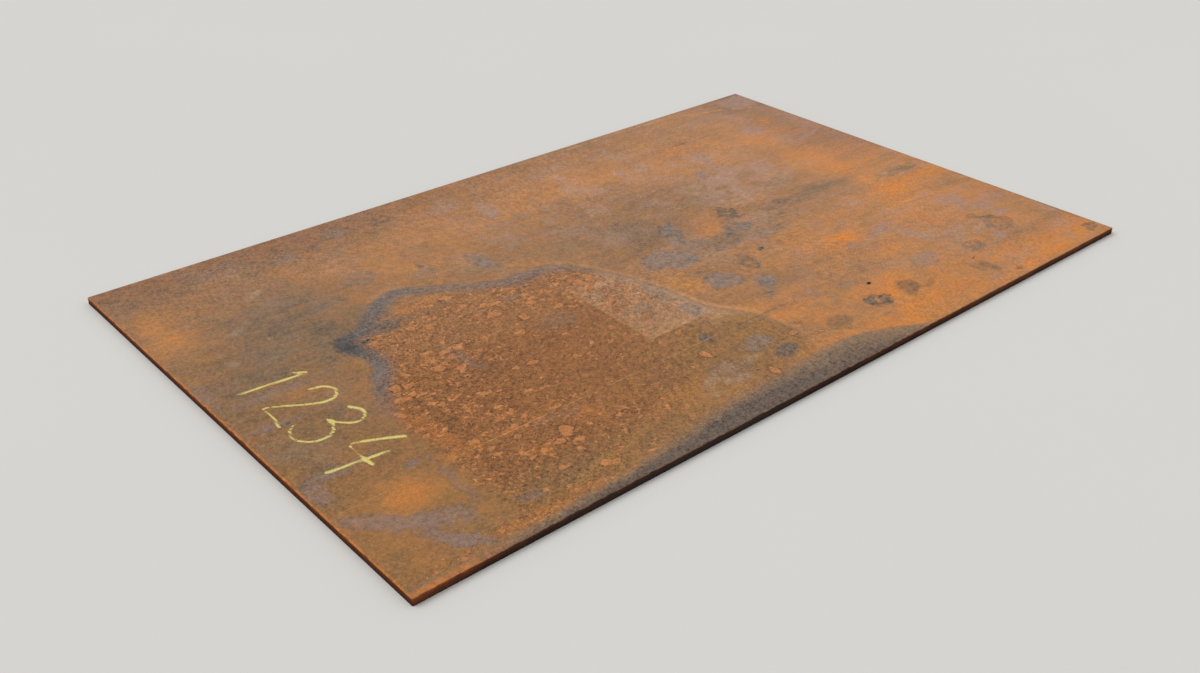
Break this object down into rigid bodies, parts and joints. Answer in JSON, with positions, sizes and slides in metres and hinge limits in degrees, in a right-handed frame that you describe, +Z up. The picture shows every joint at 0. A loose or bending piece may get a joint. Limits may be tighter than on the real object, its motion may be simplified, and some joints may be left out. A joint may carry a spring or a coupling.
{
  "type": "steel plate",
  "caption": "Flat rectangular steel plate with square mill edges on its long sides, flame cut ends and a weathered, rusted surface.",
  "frame": {"origin": "middle of the plate's underside, which rests on the floor", "axes": "+X along the length, +Y across the width, +Z up out of the upper face"},
  "size_m": [2.4384, 1.524, 0.0191],
  "materials": {
    "rusted_steel": "hot rolled steel with patchy mill scale under a film of orange and brown rust, dull"
  },
  "bodies": {
    "root": {"steel_plate": "rusted_steel"}
  },
  "joints": []
}
